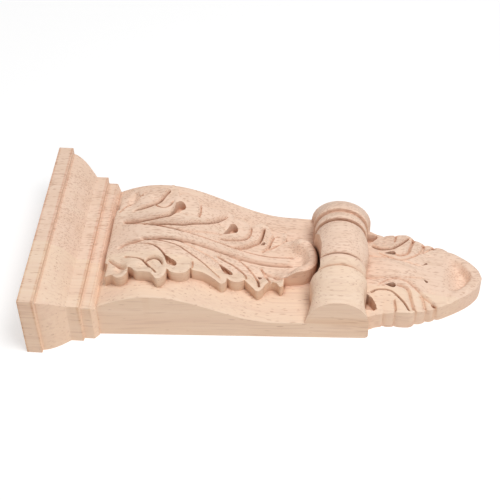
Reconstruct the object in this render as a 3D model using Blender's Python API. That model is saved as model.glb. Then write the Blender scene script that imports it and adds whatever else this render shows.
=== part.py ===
"""Carved wooden corbel onlay, lying on its flat back.

X runs along the length, from the cap's top face (negative) to the leaf tip (positive). Y runs across the
width and Z up from the back. The origin is at the centre of the back. The leaves are the same on both
sides of the plane Y = 0, so their curves are given for one half only, as (distance from the cap's top
face, distance from the centre plane). All sizes below are in millimetres and are scaled at the end.
"""

import math

import bmesh
import bpy
import numpy as np
from mathutils import Vector, geometry

MILLIMETRE = 0.001

# Overall sizes
LENGTH = 200.0
CAP_WIDTH = 98.6
BLANK_THICKNESS = 33.3

# Cap: every cross-section is a rectangle, and the moulding sinks by the same share on top and sides
CAP_LENGTH = 30.5
CAP_DROP = 16.3
CAP_INSET = 12.0
FASCIA_END = 6.9
FILLET_END = 7.7
FILLET_DEPTH = 0.14
OVOLO_END = 18.5
OVOLO_BULGE = 0.09
OVOLO_STEPS = 9
FIRST_BAND_END = 24.0
FIRST_BAND_LEVEL = 0.34
SECOND_BAND_END = 28.6
SECOND_BAND_LEVEL = 0.2
CAP_BEVEL = 0.1

# Body: tapers in plan, with a swept top that is flat across
BODY_START = 20.0
BODY_MID = 75.0
BODY_HALF_WIDTH_AT_MID = 34.65
BODY_TAPER = 0.045
BODY_CREST_X = 54.0
BODY_CREST_Z = 24.7
BODY_SHOULDER_FALL = 7.9
BODY_SHOULDER_LENGTH = 25.3
BODY_LOW_X = 110.0
BODY_LOW_Z = 9.3
BODY_END = 125.6
BODY_STATIONS = 34

# Scroll roll: arches across the object, in runs for the drum, the grooves, the ring and the barrel. Each
# is given as its distance from the centre plane, its half width and the height of its top
ROLL_MIDDLE = 135.5
ROLL_REACH = 32.0
ROLL_BASE_CHAMFER = 1.2
ROLL_STEPS = 18
DRUM_ARCHES = [
    (ROLL_REACH, 13.9, 22.8), (30.5, 13.2, 23.8), (28.5, 12.3, 25.6), (26.5, 11.6, 27.6),
    (24.5, 11.3, 29.4), (22.5, 11.5, 30.7), (20.5, 12.2, 31.5), (18.5, 12.6, 31.9), (17.1, 12.3, 31.7),
]
OUTER_GROOVE_ARCHES = [(16.8, 10.4, 30.4), (16.5, 10.4, 30.4)]
RING_ARCHES = [
    (16.1, 10.9, 31.0), (15.0, 11.5, 31.9), (13.0, 11.9, 32.5), (11.7, 11.9, 32.6), (11.2, 11.6, 32.2),
]
INNER_GROOVE_ARCHES = [(11.0, 10.1, 30.8), (10.7, 10.1, 30.8)]
BARREL_ARCHES = [(10.4, 10.5, 31.5), (9.0, 11.3, 32.2), (5.0, 12.5, 33.0), (0.0, 13.0, 33.2)]
# Space cut free around the upper leaf's tip, where it meets the roll. It is wider on one side of the tip,
# so its outline is given from side to side
TIP_GAP = [
    (119.0, -16.6), (124.0, -16.6), (126.9, -15.6), (127.6, -12.0), (127.8, -4.0), (127.0, 0.0),
    (125.6, 4.0), (123.0, 7.6), (119.0, 9.0),
]
TIP_GAP_SPACING = 1.2
TIP_GAP_FLOOR = 11.0

# Upper leaf
LEAF_MIDDLE_THICKNESSES = [(30, 5.0), (60, 4.3), (80, 3.6), (100, 3.5), (115, 4.0)]
LEAF_EDGE_THICKNESS = 6.2
LEAF_EDGE_REACH = 7.0
LEAF_EDGE_START = 12.0
LEAF_LEAST_THICKNESS = 2.2
LEAF_ROOT_LEVEL = 5.0
LEAF_EYE_FLOOR = 0.6
TIP_RIM_START = 111.0
TIP_RIM_LENGTH = 7.0
TIP_RIM_RISE = 4.3
TIP_RIM_WIDTH = 3.0
TIP_RIM_SLOPE = 4.2
TIP_RIM_ROUND = 1.0
TIP_RIM_ROUND_REACH = 1.2

# Tail leaf
TAIL_START = 142.0
TAIL_LEAST_HALF_WIDTH = 4.0
TAIL_STEM_HALF_WIDTH = 6.5
TAIL_STEM_RISE = 0.9
TAIL_STEM_END = 176.0
TAIL_STEM_TAPER = 22.0
TAIL_STEM_FADE = 12.0
SPOON_START = 182.0
SPOON_LENGTH = 9.0
SPOON_DEPTH = 4.4
SPOON_HALF_WIDTH = 13.0
SPOON_RIM_WIDTHS = [(184, 2.2), (190, 2.9), (197, 4.3)]
SPOON_WALL = 1.3
SPOON_RIM_ROUND = 0.9
SPOON_RIM_ROUND_REACH = 2.4
SPOON_RIM_FADE = 4.0

# Each overlapping solid reaches its own depth below the back before the back is cut flat
BODY_ROOT = -2.0
CAP_ROOT = -4.0
ROLL_ROOT = -3.0
TAIL_ROOT = -1.0

# How finely the carved tops are faceted
CARVING_SPACING = 2.1
STEP_WIDTH = 0.34
EYE_STEPS = 9
GRID_CLEARANCE = 0.62
EDGE_CLEARANCE = 0.5
RING_CLOSURE = 0.001
EDGE_ROUND = 0.7
EDGE_ROUND_REACH = 0.8

WOOD_COLOUR = (0.80, 0.60, 0.44, 1.0)
WOOD_ROUGHNESS = 0.62

# Upper leaf edge, from its middle at the cap to its middle at the tip
LEAF_EDGE = [
    (31.1, 0.0), (31.2, 8.0), (31.6, 16.4), (33.3, 17.6), (33.2, 25.4),
    (36.2, 25.2), (38.4, 27.4), (41.2, 27.9), (43.3, 25.8),
    (43.4, 22.4), (45.2, 23.2), (47.2, 25.5), (51.0, 25.9), (54.2, 26.8),
    (56.8, 29.6), (59.2, 28.0), (60.3, 25.4), (60.5, 23.0), (62.6, 24.4),
    (65.8, 24.3), (68.8, 22.6), (70.4, 19.6), (71.4, 20.4), (76.0, 20.2),
    (80.4, 21.4), (83.8, 23.0), (85.8, 21.4), (86.3, 18.6), (88.2, 19.5),
    (91.4, 18.9), (93.8, 16.6), (95.0, 17.7), (97.6, 19.8), (99.6, 21.5),
    (101.6, 19.8), (103.0, 16.5), (105.4, 15.6), (108.2, 15.8), (109.6, 17.2),
    (110.9, 16.4), (111.2, 11.2), (115.0, 10.6), (119.0, 10.0), (122.0, 8.4),
    (124.4, 5.4), (125.5, 2.0), (125.6, 0.0),
]

# Carved folds of the upper leaf. Each has its curve, then height and reach on its outer and inner side,
# then the shares of its length over which it fades in and out
LEAF_FOLDS = [
    # Flank of the raised rib along the middle
    ([(33, 8.6), (40, 6.0), (48, 4.3), (56, 3.0), (64, 2.2), (78, 2.0), (96, 1.9), (116, 2.0)],
     -0.4, 1.4, 1.1, 10.0, 0.15, 0.05),
    # Fold of the long fourth lobe, standing over the one beside it
    ([(43, 4.9), (47, 4.9), (51, 5.5), (57.6, 6.3), (63.5, 7.4), (66.9, 9.2), (73.9, 12.7), (77.1, 14.9),
      (81.4, 18.5), (84.6, 21.9)],
     1.6, 2.8, -0.8, 2.0, 0.25, 0.05),
    # Fold of the third lobe, over the first eye
    ([(34.6, 9.7), (39.5, 9.1), (44.3, 8.9), (51, 10.3), (54.5, 11.6), (57.5, 13.5), (59.3, 16.7),
      (60.3, 20.6)],
     1.8, 2.6, -0.8, 1.6, 0.25, 0.1),
    # Curled edge of the second lobe
    ([(49.4, 18.2), (51, 16.4), (53.2, 15.3), (55.4, 15.4), (57.4, 16.9), (58.8, 19.6), (60, 22.6)],
     -1.9, 2.2, 1.2, 1.2, 0.2, 0.1),
    # Folds between the first lobes
    ([(38.3, 14.8), (42.2, 15.7), (47.6, 17.4), (50.5, 19.6), (53.2, 23), (55.8, 26.6)],
     1.3, 2.2, -1.0, 2.0, 0.3, 0.05),
    ([(33, 13.6), (36.4, 17.4), (40.7, 20.2), (43.2, 22.7)], -1.3, 2.4, 0.3, 1.2, 0.3, 0.0),
    # Fold beside the rib, running down to the second eye
    ([(50, 4.9), (56, 4.2), (63, 3.9), (68, 5.0), (72, 6.4), (77, 8.0), (82.4, 9.7)],
     1.0, 1.8, -0.7, 1.3, 0.2, 0.1),
    # Arched folds above the third lobe and above the second eye
    ([(59.2, 14.2), (62, 13.9), (64.5, 13), (67.4, 11.2)], -0.9, 1.2, 0.1, 1.0, 0.1, 0.5),
    ([(69.7, 13.6), (70.3, 16), (70.4, 19.6)], 0.2, 1.0, -1.4, 0.9, 0.3, 0.0),
    ([(74.5, 14.4), (77.5, 14.9), (80.5, 13.6), (82.9, 11.8)], -0.8, 1.0, 0.1, 0.9, 0.5, 0.1),
    # Fold that runs out between the fifth and sixth lobes
    ([(78.6, 5.6), (83, 6.9), (87.4, 8.5), (91.2, 10.6), (93.3, 13.1), (93.8, 16.4)],
     0.9, 1.7, -0.9, 1.5, 0.25, 0.0),
    # Fold of the sixth lobe and the trench before the end lobe
    ([(84.4, 3.6), (88.4, 3.8), (91, 5.0), (93.2, 6.5), (95.4, 8.7), (97.3, 10.8), (99.0, 14.3),
      (99.8, 19.2)],
     1.3, 2.2, -1.2, 1.8, 0.3, 0.08),
    ([(98.6, 4.4), (100.4, 6.5), (101.9, 8.6), (102.8, 11), (103.8, 13.2), (104.8, 15.2)],
     0.4, 1.4, -1.6, 1.6, 0.35, 0.0),
    # Rim of the end lobe
    ([(101.5, 6.2), (105, 8.4), (108.5, 10.2), (111.1, 11.2)], -0.9, 3.0, 0.4, 2.6, 0.3, 0.0),
]

# Drilled eyes of the upper leaf: pointed end, round end, radius, depth of the hollow that runs into it
LEAF_EYES = [
    ((58.6, 14.6), (61.9, 20.2), 1.5, 2.0),
    ((82.6, 10.4), (86.5, 14.7), 1.4, 1.6),
    ((98.9, 10.0), (100.3, 10.9), 0.8, 0.5),
]
EYE_HOLLOW_START = 1.0
EYE_HOLLOW_REACH = 3.2

# Tail leaf edge, from beside the roll to the middle of the tip
TAIL_EDGE = [
    (TAIL_START, 28.0), (149.4, 26.4), (152.4, 25.0), (154.8, 24.4), (155.6, 23.7), (157.4, 24.2),
    (160.0, 24.0), (160.7, 23.4), (162.6, 24.0), (166.6, 24.0), (168.8, 23.2), (169.9, 21.8),
    (171.8, 21.7), (173.8, 20.9), (174.6, 19.9), (176.4, 20.1), (178.2, 19.3), (178.9, 18.4),
    (180.8, 18.4), (185.0, 16.2), (190.0, 13.0), (194.0, 9.9), (196.8, 6.9), (198.8, 3.9), (200.0, 0.0),
]

# Heights of the tail leaf along its centre and along its edge
TAIL_CENTRE_HEIGHTS = [
    (142, 13.3), (152, 13.4), (158, 13.6), (165, 12.8), (175, 10.9), (184, 10.0), (200, 10.2),
]
TAIL_EDGE_HEIGHTS = [
    (142, 9.6), (150, 9.2), (155, 8.8), (160, 9.8), (166, 10.4), (169, 9.4), (174, 8.2), (179, 8.2),
    (183, 9.2), (188, 10.2), (200, 10.4),
]

# Carved folds of the tail leaf, given as those of the upper leaf
TAIL_FOLDS = [
    # Deep slot that runs out between the middle lobes
    ([(160.2, 8.6), (163.6, 8.9), (166.2, 10.2), (167.6, 12.4), (168.2, 15.2), (169, 18.2), (169.9, 21.8)],
     -2.6, 1.5, -1.0, 0.9, 0.15, 0.0),
    # Ridge from the stem to the fourth lobe, falling away outwards
    ([(151, 10.8), (154.7, 7.9), (159.8, 5.4), (164.9, 5.6), (169.3, 8.6), (173, 12.2), (176.8, 15.4),
      (180.4, 18.2)],
     -1.1, 1.8, 0.8, 2.4, 0.2, 0.1),
    # Ridge of the second lobe over the fold beside it
    ([(149.7, 15.4), (153.5, 13.2), (158.6, 13.7), (162.3, 16.8), (165.2, 20.4), (166.9, 23.6)],
     0.8, 2.6, -1.5, 1.8, 0.1, 0.1),
    ([(159.6, 17.2), (160.3, 20.4), (160.7, 23.4)], 0.4, 1.2, -1.2, 0.9, 0.3, 0.0),
    ([(172.2, 12.3), (173.6, 15), (174.3, 17.8), (174.6, 19.9)], -1.7, 1.0, -1.0, 0.9, 0.2, 0.0),
    ([(177.5, 16.3), (178.9, 18.4)], -1.4, 0.8, -0.8, 0.8, 0.3, 0.0),
    ([(174.5, 9.3), (176.6, 10.7), (179.2, 10.5)], -0.8, 0.9, -0.3, 0.8, 0.3, 0.3),
    ([(183.6, 9.5), (184.3, 13), (185, 16.2)], -0.8, 0.8, -0.5, 0.8, 0.4, 0.0),
]

# Drilled eyes of the tail leaf: pointed end, round end, radius, depth
TAIL_EYES = [
    ((155.6, 9.6), (159.7, 9.9), 1.35, 3.4),
    ((173.4, 4.4), (175.0, 5.6), 0.6, 2.2),
]
# Pocket beside the roll
TAIL_POCKET = [
    (144.0, 15.4), (148.0, 15.7), (150.3, 17.3), (152.3, 20.6), (152.7, 22.4), (151.6, 23.2), (144.0, 23.2),
]
TAIL_POCKET_LEVEL = 6.0


def through(points):
    """Close points along a smooth curve through the given ones."""
    knots = np.array(points, float)
    if len(knots) == 2:
        return knots
    padded = np.vstack([2 * knots[0] - knots[1], knots, 2 * knots[-1] - knots[-2]])
    steps = np.linspace(0, 1, 9)[:, None]
    pieces = []
    for a, b, c, d in zip(padded, padded[1:], padded[2:], padded[3:]):
        pieces.append(
            0.5 * (2 * b + (c - a) * steps + (2 * a - 5 * b + 4 * c - d) * steps**2
                   + (3 * b - a - 3 * c + d) * steps**3)[:-1]
        )
    return np.vstack(pieces + [knots[-1:]])


def flowing(points, spacing):
    """Points evenly spaced along a smooth curve through the given ones."""
    return spaced(through(points), spacing)


def spaced(line, spacing):
    """The line's points, evenly spaced along its length."""
    reach = np.concatenate([[0], np.cumsum(np.linalg.norm(np.diff(line, axis=0), axis=1))])
    count = max(2, int(round(reach[-1] / spacing)) + 1)
    at = np.linspace(0, reach[-1], count)
    return np.stack([np.interp(at, reach, line[:, 0]), np.interp(at, reach, line[:, 1])], 1)


def edge_points(corners, spacing):
    """Points along a lobed edge that keep its corners."""
    kept = [np.array(corners[0], float)]
    for a, b in zip(corners, corners[1:]):
        for point in spaced(np.array([a, b], float), spacing)[1:]:
            kept.append(point)
    return np.array(kept)


def shifted(line, distance):
    """The line moved to its left."""
    heading = np.gradient(line, axis=0)
    heading /= np.linalg.norm(heading, axis=1)[:, None]
    return line + np.stack([-heading[:, 1], heading[:, 0]], 1) * distance


def teardrop(tip, centre, radius, grow, steps):
    """Outline of a drilled eye: a point and a round end, grown outwards by the given distance."""
    tip = np.array(tip, float)
    centre = np.array(centre, float)
    along = centre - tip
    reach = np.linalg.norm(along)
    heading = math.atan2(along[1], along[0])
    lean = math.acos(radius / reach)
    turns = np.linspace(heading + math.pi - lean, heading - math.pi + lean, steps)
    outline = [tip - along / reach * grow]
    for turn in turns:
        outline.append(centre + (radius + grow) * np.array([math.cos(turn), math.sin(turn)]))
    return np.array(outline)


def nearest(line, points):
    """For each point: signed distance to the line (positive on its left) and share of its length."""
    start = line[:-1]
    step = line[1:] - start
    size = np.einsum("ij,ij->i", step, step)
    away = points[:, None, :] - start[None]
    share = np.clip(np.einsum("pij,ij->pi", away, step) / size, 0, 1)
    gap = away - share[..., None] * step
    distance = np.linalg.norm(gap, axis=2)
    pick = distance.argmin(axis=1)
    row = np.arange(len(points))
    cross = step[pick, 0] * away[row, pick, 1] - step[pick, 1] * away[row, pick, 0]
    reach = np.concatenate([[0], np.cumsum(np.sqrt(size))])
    at = (reach[pick] + share[row, pick] * np.sqrt(size[pick])) / reach[-1]
    return np.where(cross >= 0, 1, -1) * distance[row, pick], at


def inside(outline, points):
    """Which points lie inside a closed outline."""
    found = np.zeros(len(points), bool)
    for a, b in zip(outline, np.roll(outline, -1, axis=0)):
        spans = (a[1] > points[:, 1]) != (b[1] > points[:, 1])
        rise = b[1] - a[1] if b[1] != a[1] else 1.0
        found ^= spans & (points[:, 0] < (b[0] - a[0]) * (points[:, 1] - a[1]) / rise + a[0])
    return found


def eased(value):
    value = np.clip(value, 0, 1)
    return value * value * (3 - 2 * value)


def folded(points, folds):
    """Sum of the carved folds' heights."""
    height = np.zeros(len(points))
    for curve, outer, outer_reach, inner, inner_reach, fade_in, fade_out in folds:
        distance, at = nearest(flowing(curve, CARVING_SPACING / 2), points)
        strength = eased(at / max(fade_in, 0.01)) * eased((1 - at) / max(fade_out, 0.01))
        side = np.clip(distance / STEP_WIDTH + 0.5, 0, 1)
        height += strength * (
            side * outer * np.exp(-np.abs(distance) / outer_reach)
            + (1 - side) * inner * np.exp(-np.abs(distance) / inner_reach)
        )
    return height


def lowered(height, outline, points, floor):
    """The height with a steep-sided pocket sunk to the floor."""
    distance, _ = nearest(np.vstack([outline, outline[:1]]), points)
    depth = np.where(inside(outline, points), np.abs(distance), 0) / STEP_WIDTH
    return height + (np.minimum(floor, height) - height) * np.clip(depth, 0, 1)


def body_half_width(x):
    return BODY_HALF_WIDTH_AT_MID - BODY_TAPER * (x - BODY_MID)


def ground(x):
    """Height of the body's swept top."""
    x = np.asarray(x, float)
    shoulder = BODY_CREST_Z - BODY_SHOULDER_FALL * ((BODY_CREST_X - x) / BODY_SHOULDER_LENGTH) ** 2
    turn = np.clip((x - BODY_CREST_X) / (BODY_LOW_X - BODY_CREST_X), 0, 1)
    sweep = BODY_LOW_Z + (BODY_CREST_Z - BODY_LOW_Z) * (0.5 + 0.5 * np.cos(math.pi * turn))
    return np.where(x < BODY_CREST_X, shoulder, sweep)


def leaf_height(points):
    """Height of the upper leaf's carved top."""
    x, across = points[:, 0], points[:, 1]
    edge = edge_points(LEAF_EDGE, CARVING_SPACING)
    from_edge = np.abs(nearest(edge, points)[0])
    middle = np.interp(x, *np.transpose(LEAF_MIDDLE_THICKNESSES))
    near_edge = (1 - eased(from_edge / LEAF_EDGE_REACH)) * eased(across / LEAF_EDGE_START)
    thickness = middle + (LEAF_EDGE_THICKNESS - middle) * near_edge + folded(points, LEAF_FOLDS)
    curl = eased((x - TIP_RIM_START) / TIP_RIM_LENGTH)
    slope = eased((from_edge - TIP_RIM_WIDTH * curl) / TIP_RIM_SLOPE)
    thickness += curl * TIP_RIM_RISE * (1 - slope)
    thickness -= curl * TIP_RIM_ROUND * np.exp(-from_edge / TIP_RIM_ROUND_REACH)
    thickness -= EDGE_ROUND * np.exp(-from_edge / EDGE_ROUND_REACH)
    base = ground(x)
    height = base + np.maximum(thickness, LEAF_LEAST_THICKNESS)
    for tip, centre, radius, hollow in LEAF_EYES:
        away = np.hypot(x - tip[0] - EYE_HOLLOW_START, across - tip[1])
        height -= hollow * np.exp(-((away / EYE_HOLLOW_REACH) ** 2))
        outline = teardrop(tip, centre, radius, 0, EYE_STEPS)
        height = lowered(height, outline, points, base + LEAF_EYE_FLOOR)
    return height


def tail_height(points):
    """Height of the tail leaf's carved top."""
    x, across = points[:, 0], points[:, 1]
    edge = edge_points(TAIL_EDGE, CARVING_SPACING)
    from_edge = np.abs(nearest(edge, points)[0])
    half_width = np.maximum(np.interp(x, *np.transpose(TAIL_EDGE)), TAIL_LEAST_HALF_WIDTH)
    centre = np.interp(x, *np.transpose(TAIL_CENTRE_HEIGHTS))
    rim = np.interp(x, *np.transpose(TAIL_EDGE_HEIGHTS))
    height = centre - (centre - rim) * np.clip(across / half_width, 0, 1) ** 2
    to_stem_end = np.maximum(TAIL_STEM_END - x, 1)
    stem = TAIL_STEM_HALF_WIDTH * np.clip(to_stem_end / TAIL_STEM_TAPER, 0, 1)
    height += TAIL_STEM_RISE * np.clip(1 - (across / stem) ** 2, 0, 1) * eased(to_stem_end / TAIL_STEM_FADE)
    height += folded(points, TAIL_FOLDS)
    bowl = eased((x - SPOON_START) / SPOON_LENGTH) * np.clip(1 - (across / SPOON_HALF_WIDTH) ** 2, 0, 1)
    rim_width = np.interp(x, *np.transpose(SPOON_RIM_WIDTHS))
    height -= SPOON_DEPTH * bowl * eased((from_edge - rim_width) / SPOON_WALL)
    at_tip = eased((x - SPOON_START) / SPOON_RIM_FADE)
    height -= at_tip * SPOON_RIM_ROUND * np.clip(1 - from_edge / SPOON_RIM_ROUND_REACH, 0, 1) ** 2
    height -= EDGE_ROUND * np.exp(-from_edge / EDGE_ROUND_REACH)
    for tip, round_end, radius, depth in TAIL_EYES:
        outline = teardrop(tip, round_end, radius, 0, EYE_STEPS)
        height = lowered(height, outline, points, height - depth)
    return lowered(height, np.array(TAIL_POCKET), points, TAIL_POCKET_LEVEL)


def placed(x, y, z):
    """A point of the object from millimetres measured from the cap's top face."""
    return Vector((x - LENGTH / 2, y, z)) * MILLIMETRE


def new_object(name, mesh_builder):
    """An object whose mesh is the finished mesh builder, with its faces turned outwards."""
    bmesh.ops.recalc_face_normals(mesh_builder, faces=mesh_builder.faces)
    mesh = bpy.data.meshes.new(name)
    mesh_builder.to_mesh(mesh)
    mesh_builder.free()
    made = bpy.data.objects.new(name, mesh)
    bpy.context.collection.objects.link(made)
    return made


def lofted(name, sections):
    """A closed solid through sections that have the same number of points."""
    builder = bmesh.new()
    rings = []
    for section in sections:
        rings.append([builder.verts.new(placed(*point)) for point in section])
    for ring, following in zip(rings, rings[1:]):
        for i in range(len(ring)):
            j = (i + 1) % len(ring)
            builder.faces.new((ring[i], ring[j], following[j], following[i]))
    builder.faces.new(reversed(rings[0]))
    builder.faces.new(rings[-1])
    return new_object(name, builder)


def carved(name, edge, lines, height, root):
    """A closed solid over a lobed edge and its mirror image, with a carved top and a flat root."""
    middle = spaced(np.array([edge[-1], edge[0]]), CARVING_SPACING)
    border = np.vstack([edge, middle[1:-1]])
    fixed = np.vstack([border] + lines)
    low, high = border.min(axis=0), border.max(axis=0)
    rows = np.arange(low[1], high[1], CARVING_SPACING * math.sqrt(0.75))
    cells = []
    for i, row in enumerate(rows):
        shift = CARVING_SPACING / 2 * (i % 2)
        for column in np.arange(low[0] + shift, high[0], CARVING_SPACING):
            cells.append((column, row))
    cells = np.array(cells)
    gaps = np.linalg.norm(cells[:, None] - fixed[None], axis=2).min(axis=1)
    cells = cells[inside(border, cells) & (gaps > GRID_CLEARANCE * CARVING_SPACING)]
    links = [(i, (i + 1) % len(border)) for i in range(len(border))]
    first = len(border)
    for line in lines:
        links += [(first + i, first + i + 1) for i in range(len(line) - 1)]
        first += len(line)
    corners = [Vector(p) for p in np.vstack([fixed, cells])]
    flat, _, faces, _, _, _ = geometry.delaunay_2d_cdt(corners, links, [], 0, 1e-4)
    flat = np.array([tuple(p) for p in flat])
    centres = np.array([flat[list(face)].mean(axis=0) for face in faces])
    tops = height(flat)
    builder = bmesh.new()
    for side in (1, -1):
        verts = [builder.verts.new(placed(p[0], side * p[1], z)) for p, z in zip(flat, tops)]
        for face, kept in zip(faces, inside(border, centres)):
            if kept:
                builder.faces.new([verts[i] for i in face])
    loose = [v for v in builder.verts if not v.link_faces]
    bmesh.ops.delete(builder, geom=loose, context="VERTS")
    bmesh.ops.remove_doubles(builder, verts=builder.verts, dist=1e-6)
    bmesh.ops.recalc_face_normals(builder, faces=builder.faces)
    rim = [e for e in builder.edges if e.is_boundary]
    walls = bmesh.ops.extrude_edge_only(builder, edges=rim)["geom"]
    for vert in (g for g in walls if isinstance(g, bmesh.types.BMVert)):
        vert.co.z = root * MILLIMETRE
    foot = [g for g in walls if isinstance(g, bmesh.types.BMEdge) and g.is_boundary]
    bmesh.ops.edgeloop_fill(builder, edges=foot)
    return new_object(name, builder)


def fold_lines(folds, eyes, border):
    """Both sides of every fold's step and both rims of every eye, kept clear of the border."""
    lines = []
    for curve, outer, _, inner, _, _, _ in folds:
        line = flowing(curve, CARVING_SPACING)
        for shift in ((-0.5, 0.5) if outer * inner < 0 else (0,)):
            moved = shifted(line, STEP_WIDTH * shift)
            clear = np.abs(nearest(border, moved)[0]) > EDGE_CLEARANCE
            lines.append(moved[clear & inside(border, moved)])
    for eye in eyes:
        for grow in (0, -STEP_WIDTH):
            ring = teardrop(*eye[:3], grow, EYE_STEPS)
            lines.append(np.vstack([ring, ring[:1] + RING_CLOSURE]))
    return [line for line in lines if len(line) > 1]


def cap():
    """The moulded cap as a loft of rectangles."""
    levels = [(0.0, 1 - CAP_BEVEL / 2), (CAP_BEVEL, 1.0), (FASCIA_END, 1.0)]
    top_of_ovolo = 1 - FILLET_DEPTH
    levels += [(FASCIA_END + CAP_BEVEL, top_of_ovolo), (FILLET_END, top_of_ovolo)]
    for i in range(1, OVOLO_STEPS + 1):
        share = i / OVOLO_STEPS
        bulge = OVOLO_BULGE * (1 - (2 * share - 1) ** 2)
        x = FILLET_END + (OVOLO_END - FILLET_END) * share
        levels.append((x, top_of_ovolo + (FIRST_BAND_LEVEL - top_of_ovolo) * share + bulge))
    levels += [(FIRST_BAND_END, FIRST_BAND_LEVEL), (FIRST_BAND_END + CAP_BEVEL, SECOND_BAND_LEVEL)]
    levels += [(SECOND_BAND_END, SECOND_BAND_LEVEL), (CAP_LENGTH, 0.0)]
    sections = []
    for x, level in levels:
        half = CAP_WIDTH / 2 - CAP_INSET * (1 - level)
        top = BLANK_THICKNESS - CAP_DROP * (1 - level)
        sections.append([(x, -half, CAP_ROOT), (x, -half, top), (x, half, top), (x, half, CAP_ROOT)])
    return lofted("cap", sections)


def body():
    """The tapering body with its swept top."""
    sections = []
    for x in np.linspace(BODY_START, BODY_END, BODY_STATIONS):
        half = body_half_width(x)
        top = float(ground(x))
        sections.append([(x, -half, BODY_ROOT), (x, -half, top), (x, half, top), (x, half, BODY_ROOT)])
    return lofted("body", sections)


def roll():
    """The scroll roll: arch sections from one end of the roll to the other."""
    arches = DRUM_ARCHES + OUTER_GROOVE_ARCHES + RING_ARCHES + INNER_GROOVE_ARCHES + BARREL_ARCHES
    arches = arches + [(-across, half, top) for across, half, top in reversed(arches[:-1])]
    sections = []
    for across, half, top in arches:
        left, right = ROLL_MIDDLE - half, ROLL_MIDDLE + half
        chamfer = right - ROLL_BASE_CHAMFER
        profile = [(left, ROLL_ROOT), (chamfer, ROLL_ROOT), (chamfer, 0), (right, ROLL_BASE_CHAMFER)]
        for i in range(ROLL_STEPS + 1):
            turn = math.pi * i / ROLL_STEPS
            profile.append((ROLL_MIDDLE + half * math.cos(turn), top - half + half * math.sin(turn)))
        share = across / ROLL_REACH
        sections.append([(x, share * body_half_width(x), z) for x, z in profile])
    return lofted("roll", sections)


def tip_gap():
    """The space around the upper leaf's tip."""
    outline = flowing(TIP_GAP, TIP_GAP_SPACING)
    levels = (TIP_GAP_FLOOR, BLANK_THICKNESS + TIP_GAP_FLOOR)
    return lofted("gap", [[(x, y, z) for x, y in outline] for z in levels])


def combined(whole, other, operation):
    """The first solid with the other joined to it or cut from it."""
    change = whole.modifiers.new("change", "BOOLEAN")
    change.operation = operation
    change.solver = "EXACT"
    change.object = other
    bpy.context.view_layer.update()
    evaluated = whole.evaluated_get(bpy.context.evaluated_depsgraph_get())
    solid = bpy.data.meshes.new_from_object(evaluated)
    whole.modifiers.clear()
    whole.data = solid
    bpy.data.objects.remove(other)
    return whole


def joined(parts, name):
    """One solid from overlapping ones."""
    whole = parts[0]
    for other in parts[1:]:
        whole = combined(whole, other, "UNION")
    whole.name = name
    whole.data.name = name
    return whole


def flattened(whole):
    """The solid cut off flat at its back."""
    builder = bmesh.new()
    builder.from_mesh(whole.data)
    everything = builder.verts[:] + builder.edges[:] + builder.faces[:]
    back, upwards = (0, 0, 0), (0, 0, 1)
    bmesh.ops.bisect_plane(builder, geom=everything, plane_co=back, plane_no=upwards, clear_inner=True)
    bmesh.ops.edgeloop_fill(builder, edges=[e for e in builder.edges if e.is_boundary])
    bmesh.ops.recalc_face_normals(builder, faces=builder.faces)
    builder.to_mesh(whole.data)
    builder.free()
    return whole


def wood():
    """Bare pale hardwood."""
    material = bpy.data.materials.new("wood")
    material.use_nodes = True
    shader = material.node_tree.nodes["Principled BSDF"]
    shader.inputs["Base Color"].default_value = WOOD_COLOUR
    shader.inputs["Roughness"].default_value = WOOD_ROUGHNESS
    return material


for existing in list(bpy.data.objects):
    bpy.data.objects.remove(existing)

leaf_edge = edge_points(LEAF_EDGE, CARVING_SPACING)
tail_edge = edge_points([(TAIL_START, 0.0)] + TAIL_EDGE, CARVING_SPACING)
leaf = carved("leaf", leaf_edge, fold_lines(LEAF_FOLDS, LEAF_EYES, leaf_edge), leaf_height, LEAF_ROOT_LEVEL)
tail = carved("tail", tail_edge, fold_lines(TAIL_FOLDS, TAIL_EYES, tail_edge), tail_height, TAIL_ROOT)
rolled = combined(roll(), tip_gap(), "DIFFERENCE")
onlay = flattened(joined([body(), cap(), rolled, tail, leaf], "carved_onlay"))
onlay.data.materials.clear()
onlay.data.materials.append(wood())
onlay.data.shade_smooth()
onlay.data.set_sharp_from_angle(angle=math.radians(24))
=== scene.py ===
import math

import bmesh
import bpy
import numpy as np
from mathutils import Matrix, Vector, geometry
from mathutils.bvhtree import BVHTree


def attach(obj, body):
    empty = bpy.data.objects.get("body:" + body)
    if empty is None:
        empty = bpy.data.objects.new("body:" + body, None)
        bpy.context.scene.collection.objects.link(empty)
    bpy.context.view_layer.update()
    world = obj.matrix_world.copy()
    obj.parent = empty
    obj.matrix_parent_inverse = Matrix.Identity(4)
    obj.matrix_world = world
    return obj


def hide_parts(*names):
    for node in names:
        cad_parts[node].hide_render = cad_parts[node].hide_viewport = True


# The carving follows the solid's own sizes and adds the finer relief to them. Sizes are in millimetres,
# measured from the cap's top face, the centre plane and the back
MILLIMETRE = 0.001

# Overall sizes
LENGTH = 200.0
CAP_WIDTH = 98.6
BLANK_THICKNESS = 33.3

# Cap
CAP_DROP = 16.3
CAP_INSET = 12.0
# Distance from the cap's top face, and how much of the cap's drop is still to come
CAP_PROFILE = [
    (0.0, 1.0), (6.9, 1.0), (7.0, 0.86), (7.7, 0.86), (8.9, 0.836), (10.1, 0.801), (11.3, 0.758),
    (12.5, 0.707), (13.7, 0.646), (14.9, 0.577), (16.1, 0.502), (17.3, 0.422), (18.5, 0.34),
    (24.0, 0.34), (24.1, 0.2), (28.6, 0.2), (30.5, 0.0),
]
# Short run added before the first corner, so that this corner is rounded too
CAP_LEAD_IN = 1.0

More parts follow.
